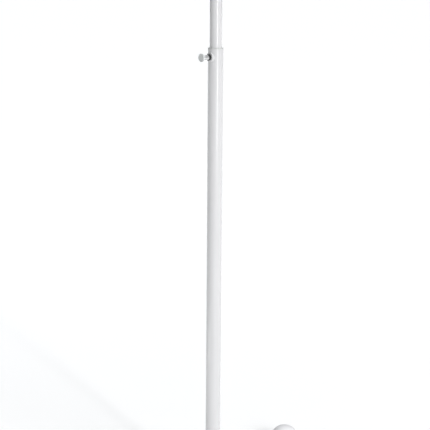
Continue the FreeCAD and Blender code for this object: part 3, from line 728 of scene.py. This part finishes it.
# ---- posts and clamp ----
STEM_R, NECK_R = 4, 4.8
STEM_HOLE = STEM_R + FIT
SADDLE_R = 10.5
SEAT_BORE = 6               # the hollow behind the seat, which opens into the post
SADDLE_FACE = POST_R + 1.4
WASHER_R, WASHER_H = 6.2, 4
SHOULDER = SADDLE_FACE + WASHER_H + 2 * FIT
NECK_END = 37
COLLAR_Z = high_mm("inner_post").z + FIT
COLLAR_TOP = low_mm("arm_tube").z - FIT
GRUB_HOLE = 2 + FIT
LOW_GRUB_Z = COLLAR_Z - 20
HIGH_GRUB_Z = COLLAR_TOP + 15


def tube_outline(radius, low, high, groove=()):
    """Tube wall with eased ends and, if given, a shallow groove round its outside."""
    corners = [(radius - WALL, low, 0.3), (radius, low, 0.3)]
    if groove:
        corners += [(radius, groove[0], 0), (radius - 0.4, groove[0], 0),
                    (radius - 0.4, groove[1], 0), (radius, groove[1], 0)]
    return eased(corners + [(radius, high, 0.5), (radius - WALL, high, 0.5)])


def make_posts():
    """Both straight tubes, with their holes and the inner one's groove for its clip."""
    lower = turned("lower", tube_outline(POST_R, low_mm("lower_post").z, RIM_Z), UPRIGHT, 160)
    holes = [rod_mesh(SCREW, SEAT_BORE + FIT, 5, 20), rod_mesh(GLAND, FLEX_HOLE, 5, 20)]
    dress(carved(lower, holes), "lower_post")
    clip = (low_mm("guide_clip").z - 0.1, high_mm("guide_clip").z + 0.1)
    inner = turned("inner", tube_outline(INNER_R, low_mm("inner_post").z, COLLAR_Z - FIT, clip), UPRIGHT, 128)
    dress(carved(inner, [rod_mesh(aim(Z * LOW_GRUB_Z, Y), GRUB_HOLE, 6, 20)]), "inner_post")


def make_top_bush():
    """Bush whose lip covers the rim, parted from it by a fine shadow line."""
    bore, sleeve = INNER_R + FIT, POST_R - WALL - FIT
    outline = eased([(bore, RIM_Z - 40, 0.5), (sleeve, RIM_Z - 40, 0.4), (sleeve, RIM_Z + FIT, 0),
                     (POST_R - 0.3, RIM_Z + FIT, 0), (POST_R - 0.3, RIM_Z + 0.3, 0),
                     (POST_R, RIM_Z + 0.35, 0.1), (POST_R, LIP_TOP, 0.9), (bore, LIP_TOP, 0.5)])
    bush = turned("bush", outline, UPRIGHT, 128)
    dress(carved(bush, [rod_mesh(SCREW, 4.3, 5, 20)]), "top_bush")


def make_saddle():
    """Round seat whose underside follows the post and whose edge rolls down onto it."""
    def skirt(across):
        return math.sqrt(POST_R ** 2 - across ** 2) + FIT

    def top(rho):
        return lambda across: SADDLE_FACE - rho

    def between(share):
        return lambda across: skirt(across) + (SADDLE_FACE - 0.1 - skirt(across)) * share

    levels = [(STEM_HOLE, top(0.5)), (4.5, top(0)), (8.2, top(0)), (8.9, top(0.04))]
    for i in range(1, 9):
        lean = math.pi / 2 * i / 8
        levels.append((8.9 + 1.6 * math.sin(lean), between(0.15 + 0.85 * math.cos(lean))))
    levels += [(SADDLE_R, skirt), (8.5, skirt), (SEAT_BORE, skirt)]
    levels += [(SEAT_BORE, top(2.8)), (STEM_HOLE, top(2.8))]
    rings = []
    for rho, depth in levels:
        ring = []
        for i in range(96):
            a = 2 * math.pi * i / 96
            across, up = rho * math.cos(a), rho * math.sin(a)
            ring.append((across, up, depth(across)))
        rings.append(ring)
    side = SCREW_AXIS.cross(Z)
    centre = Z * SCREW_Z
    placed = [[(centre + side * x + Z * y + SCREW_AXIS * z) * MM for x, y, z in ring] for ring in rings]
    dress(skinned("saddle", placed), "screw_saddle")


def make_lock_washer():
    """Black ring with a waist line, between the seat and the screw's shoulder."""
    start, end = SADDLE_FACE + FIT, SADDLE_FACE + FIT + WASHER_H
    middle = (start + end) / 2
    outline = eased([(STEM_HOLE, start, 0.3), (WASHER_R, start, 0.4), (WASHER_R, middle - 0.5, 0.2),
                     (WASHER_R - 0.3, middle, 0.2), (WASHER_R, middle + 0.5, 0.2), (WASHER_R, end, 0.9),
                     (STEM_HOLE, end, 0.4)])
    dress(turned("washer", outline, SCREW), "lock_washer")


def make_thumbscrew():
    """Threaded tip, smooth neck with a turned line, and a fluted disc riveted on its end."""
    tip = INNER_R + 0.3
    line, rivet = NECK_END - 4.5, NECK_END + 1.9
    corners = [(0, tip, 0), (STEM_R - 0.8, tip, 0)] + run((STEM_R, tip + 0.8), (STEM_R, SHOULDER), 48)
    corners += [(STEM_R, SHOULDER, 0), (NECK_R, SHOULDER, 0.3), (NECK_R, line - 0.9, 0.2),
                (NECK_R - 0.4, line - 0.5, 0.2), (NECK_R - 0.4, line + 0.5, 0.2), (NECK_R, line + 0.9, 0.2),
                (NECK_R, NECK_END, 0.3), (3, NECK_END, 0), (3, rivet, 0.4), (0, rivet, 0)]
    cut = thread(1.25, 0.6, tip + 0.8, SHOULDER - 0.6)
    dress(turned("stem", eased(corners), SCREW, 64, cut), "thumbscrew_stem")
    back, face = NECK_END + FIT, NECK_END + FIT + 3.4
    corners = [(0, back + 2, 0), (3 + FIT, back + 2, 0), (3 + FIT, back, 0.1), (7.2, back, 0.5),
               (8.8, back + 0.6, 0.5), (8.8, face, 0.9), (7.4, face, 0.4), (6.6, face - 0.5, 0.4),
               (2.6, face - 0.5, 0.3), (2.2, face - 0.1, 0.3), (0, face - 0.05, 0)]
    dress(turned("grip", eased(corners), SCREW, 160, flutes(16, 0.45, 8)), "thumbscrew_head")


# ---- arm ----
ARC_SWEEP = math.radians(140)
ARM_END_STRAIGHT = 32
PIVOT_REACH = 24
BEYOND_ARC = ARM_END_STRAIGHT + PIVOT_REACH
ARC_R = -(PIVOT.x + BEYOND_ARC * math.sin(ARC_SWEEP)) / (1 - math.cos(ARC_SWEEP))
ARC_Z = PIVOT.z - ARC_R * math.sin(ARC_SWEEP) - BEYOND_ARC * math.cos(ARC_SWEEP)
GROMMET_AT = math.radians(131)


def arc_ring(angle, radius, beyond=0.0):
    """Ring of points round the arm at an angle of its arc, or some way straight on from there."""
    outward = Vector((math.cos(angle), 0, math.sin(angle)))
    onward = Vector((-math.sin(angle), 0, math.cos(angle)))
    centre = Vector((-ARC_R, 0, ARC_Z)) + outward * ARC_R + onward * beyond
    spread = [2 * math.pi * i / 96 for i in range(96)]
    return [(centre + (outward * math.cos(a) + Y * math.sin(a)) * radius) * MM for a in spread]


def make_arm_tube():
    """Bent tube, open at both ends, its ends lightly eased, drilled for the flex and a grub screw."""
    start, steps = COLLAR_TOP + FIT - ARC_Z, 84
    stations = [(0, start), (0, start + 0.4)] + [(ARC_SWEEP * i / steps, 0) for i in range(steps + 1)]
    stations += [(ARC_SWEEP, ARM_END_STRAIGHT - 0.4), (ARC_SWEEP, ARM_END_STRAIGHT)]
    rings = []
    for i, (angle, beyond) in enumerate(stations):
        ease = 0.3 if i in (0, len(stations) - 1) else 0
        rings.append(arc_ring(angle, INNER_R - ease, beyond))
    rings += [arc_ring(angle, INNER_R - WALL, beyond) for angle, beyond in reversed(stations)]
    outward = Vector((math.cos(GROMMET_AT), 0, math.sin(GROMMET_AT)))
    spot = Vector((-ARC_R, 0, ARC_Z)) + outward * ARC_R
    holes = [rod_mesh(aim(spot, -outward), FLEX_HOLE, 6, 20),
             rod_mesh(aim(Z * HIGH_GRUB_Z, Y), GRUB_HOLE, 6, 20)]
    dress(carved(skinned("arm", rings), holes), "arm_tube")


def make_arm_collar():
    """Turned collar with a centre line, on a spigot that plugs into both tubes."""
    low, high, middle = low_mm("arm_collar").z, high_mm("arm_collar").z, (COLLAR_Z + COLLAR_TOP) / 2
    plug, collar = INNER_R - WALL - FIT, INNER_R + 0.9
    outline = eased([(6.5, low, 0.4), (plug, low, 0.8), (plug, COLLAR_Z, 0), (collar, COLLAR_Z, 0.9),
                     (collar, middle - 0.5, 0.1), (collar - 0.4, middle, 0.3), (collar, middle + 0.5, 0.1),
                     (collar, COLLAR_TOP, 0.9), (plug, COLLAR_TOP, 0), (plug, high, 0.8), (6.5, high, 0.4)])
    grubs = [rod_mesh(aim(Z * z, Y), GRUB_HOLE, 5, 13) for z in (LOW_GRUB_Z, HIGH_GRUB_Z)]
    dress(carved(turned("collar", outline, UPRIGHT, 128), grubs), "arm_collar")


# ---- head: heights run down from the tilt pivot ----
CAP_TOP, CAP_BOTTOM, CAP_R = 32, 104, 24
HOLDER_TOP, HOLDER_FLOOR, HOLDER_R, SOCKET_R = 58, 80, 19.8, 14
FLANGE_R = CAP_R + 0.6
SHADE_TOP = CAP_BOTTOM + 2.5
SHADE_R, SHADE_H, PLATE_R, SHADE_WALL = 150, 165, 34, 0.8
SHADE_RIM = SHADE_TOP + SHADE_H
SWITCH_H = 47
SWITCH = aim(PIVOT - Z * SWITCH_H, -Y)


def make_cap():
    """Drawn cup with a rolled line above its edge, drilled for the switch and the flex."""
    outline = eased([(5.2, CAP_TOP, 0.3), (CAP_R, CAP_TOP, 10), (CAP_R, 94.6, 0.3), (CAP_R - 0.5, 95.2, 0.3),
                     (CAP_R - 0.5, 96.2, 0.3), (CAP_R, 96.8, 0.3), (CAP_R, CAP_BOTTOM - FIT, 0.4),
                     (CAP_R - 1.2, CAP_BOTTOM - FIT, 0.4), (CAP_R - 1.2, CAP_TOP + 1.5, 8.6),
                     (5.2, CAP_TOP + 1.5, 0.3)], 8)
    holes = [rod_mesh(SWITCH, 4.6, 15, 30), rod_mesh(aim(PIVOT - Z * SWITCH_H, X), FLEX_HOLE, 15, 30)]
    dress(carved(turned("cap", outline, HEAD, 128), holes), "holder_cap")


def make_lampholder():
    """Moulded holder: stepped body, flange, outer thread for the ring and inner thread for the bulb."""
    foot = SHADE_TOP + 15
    inlet, shelf = 5 + FIT, HOLDER_TOP + 9
    corners = [(inlet, HOLDER_TOP, 0), (16, HOLDER_TOP, 1.2), (16, 76, 1), (HOLDER_R, HOLDER_FLOOR, 1),
               (HOLDER_R, CAP_BOTTOM, 0), (FLANGE_R, CAP_BOTTOM, 0.3), (FLANGE_R, SHADE_TOP - FIT, 0.6)]
    corners += run((HOLDER_R, SHADE_TOP - FIT), (HOLDER_R, foot - 0.6), 60)
    corners += [(HOLDER_R - 0.6, foot, 0), (SOCKET_R + 0.6, foot, 0)]
    corners += run((SOCKET_R, foot - 0.6), (SOCKET_R, HOLDER_FLOOR), 90)
    corners += [(SOCKET_R, HOLDER_FLOOR, 0), (0, HOLDER_FLOOR, 0), (0, shelf, 0), (inlet, shelf, 0)]
    outside = thread(2.5, 0.6, SHADE_TOP + 1, foot - 0.8)
    inside = thread(3.6, 0.4, HOLDER_FLOOR + 8, foot - 2)

    def ripple(r, z, a):
        if math.isclose(r, HOLDER_R, abs_tol=0.01):
            return outside(r, z, a)
        return inside(r, z, a) if math.isclose(r, SOCKET_R, abs_tol=0.01) else r
    dress(turned("holder", eased(corners), HEAD, 96, ripple), "lampholder")


def make_shade_ring():
    """Ring nut with finger grooves that holds the shade up."""
    top, ring_r = SHADE_TOP + SHADE_WALL + FIT, 26.5
    outline = eased([(HOLDER_R + FIT, top, 0.3), (ring_r, top, 0.3), (ring_r, top + 10, 1.4),
                     (22.6, top + 10, 0.4), (HOLDER_R + FIT, top + 9, 0.8)])
    dress(turned("ring", outline, HEAD, 216, flutes(18, 0.8, ring_r - 0.9, top + 2.5)), "shade_ring")


def make_shade():
    """Spun dome: flat top plate, two spinning lines near the edge and a rolled rim; enamelled inside."""
    crown = SHADE_H / math.sqrt(1 - (PLATE_R / SHADE_R) ** 2)      # height of the dome without its plate
    steps = 72

    def wall(inset, lift):
        points = []
        for i in range(steps + 1):
            lean = math.asin(SHADE_H / crown) * (1 - i / steps)
            rise = (crown - inset) * math.sin(lean)
            line = lift if 9 <= rise < 10.2 or 13 <= rise < 14.2 else 0
            if 1.2 < rise < SHADE_H - inset - 0.2:
                points.append(((SHADE_R - inset - line) * math.cos(lean), SHADE_RIM - rise, 0))
        return points

    bead = [(SHADE_R - 0.9 + 1.6 * math.cos(a), SHADE_RIM - 1.6 * math.sin(a), 0)
            for a in [math.radians(150 + 12 * i) for i in range(21)]]
    hole = HOLDER_R + 0.2
    plate = [(PLATE_R - 1.5, SHADE_TOP, 0.6), (hole, SHADE_TOP, 0.2),
             (hole, SHADE_TOP + SHADE_WALL, 0.2), (PLATE_R - 2, SHADE_TOP + SHADE_WALL, 0.6)]
    inside = wall(SHADE_WALL, 0)
    corner_steps = 5
    corner_points = corner_steps + 1
    # the enamel starts past the plate's two upper corners and ends just onto the bead
    lined = (2 * corner_points, len(plate) * corner_points + len(inside) + 2)
    outline = eased(plate + inside + bead + wall(0, 0.25)[::-1], corner_steps)
    dress(turned("shade", outline, HEAD, 192, None, lined), "shade", lining=SHADE_LINING)


def make_bulb():
    """Screw cap with a rolled thread, white collar and opal globe."""
    top = HOLDER_FLOOR + 9.5 + FIT
    corners = [(11.9, top, 0), (12.5, top, 0)] + run((13.1, top + 1), (13.1, top + 23.4), 84)
    corners += [(12.7, top + 24, 0), (11.9, top + 24, 0)]
    rolled = thread(3.6, 0.8, top + 1, top + 22)
    dress(turned("cap", eased(corners), HEAD, 72, rolled), "bulb_cap")
    base = HOLDER_FLOOR + 20
    collar = eased([(0, base, 0), (11.8, base, 0), (11.8, base + 13.6, 0), (13.3, base + 13.6, 0.4),
                    (13.3, base + 22, 3), (15.2, base + 30, 3), (19.2, base + 38, 0.4), (16.9, base + 38, 0),
                    (16.9, base + 41, 0.4), (0, base + 41, 0)], 6)
    dress(turned("collar", collar, HEAD), "bulb_body")
    centre, cut, globe_r, skin = 161, HOLDER_FLOOR + 58 + FIT, 30, 1.4
    shell, steps = [], 40
    for radius, order in ((globe_r, 1), (globe_r - skin, -1)):
        edge = math.acos((cut - centre) / radius)
        arc = [edge * (1 - i / steps) for i in range(steps + 1)][::order]
        shell += [(radius * math.sin(a) if a > 1e-6 else 0, centre + radius * math.cos(a)) for a in arc]
    dress(turned("globe", shell, HEAD, 96), "bulb_globe")
    tip = HOLDER_FLOOR + 3.6
    contact = eased([(0, tip, 0), (3, tip, 1), (4.2, tip + 1, 0.4), (4.2, tip + 1.8, 0.1), (0, tip + 1.8, 0)])
    dress(turned("contact", contact, HEAD, 64), "bulb_contact")


def make_switch():
    """Knurled nut and a fluted knob with a pointer groove across its face."""
    bore, low, high = 4.5 + FIT, CAP_R + FIT, CAP_R + 2
    nut = eased([(bore, low, 0.1), (7, low, 0.2), (7, high, 0.5), (bore, high, 0.3)])
    dress(turned("nut", nut, SWITCH, 140, flutes(28, 0.3, 6.4)), "switch_nut")
    start, end = CAP_R + 3.9, CAP_R + 14.9
    knob = eased([(0, end - 1.8, 0), (2.5 + FIT, end - 1.8, 0), (2.5 + FIT, start, 0.2), (8.6, start, 0.4),
                  (7.6, end, 1.4), (5.8, end, 0.3), (5.2, end - 0.4, 0.3), (0, end - 0.4, 0)])
    pointer = bmesh.new()
    bmesh.ops.create_cube(pointer, size=MM)
    bmesh.ops.scale(pointer, vec=(1.1, 4.6, 1.6), verts=pointer.verts)
    bmesh.ops.translate(pointer, vec=Vector((0, 5.2, end)) * MM, verts=pointer.verts)
    bmesh.ops.transform(pointer, matrix=SWITCH, verts=pointer.verts)
    body = turned("knob", knob, SWITCH, 144, flutes(12, 0.9, 7.2, start + 0.8, start + 8))
    dress(carved(body, [finished(pointer, "pointer")]), "switch_knob")


# CAD nodes shown by a copy with rounded edges, and the width of the rounding
EASED = {"tilt_fork": 0.6, "head_neck": 0.6, "pivot_bolt": 0.3, "pivot_nut": 0.3, "spring_washer": 0.2,
         "pivot_washers": 0.15, "arm_grommet": 0.5, "cap_grommet": 0.5, "collar_screws": 0.15,
         "socket_grub_screws": 0.2, "switch_body": 0.4, "switch_shaft": 0.25}

for node_name, node in NODES.items():
    node.data.materials.clear()
    node.data.materials.append(MATERIALS[SLOT_OF[node_name]])
make_legs()
make_feet()
make_pads()
make_hub()
make_gland()
make_posts()
make_top_bush()
make_saddle()
make_lock_washer()
make_thumbscrew()
make_arm_tube()
make_arm_collar()
make_cap()
make_lampholder()
make_shade_ring()
make_shade()
make_bulb()
make_switch()
for node_name, width in EASED.items():
    dress(eased_copy(node_name, width), node_name)
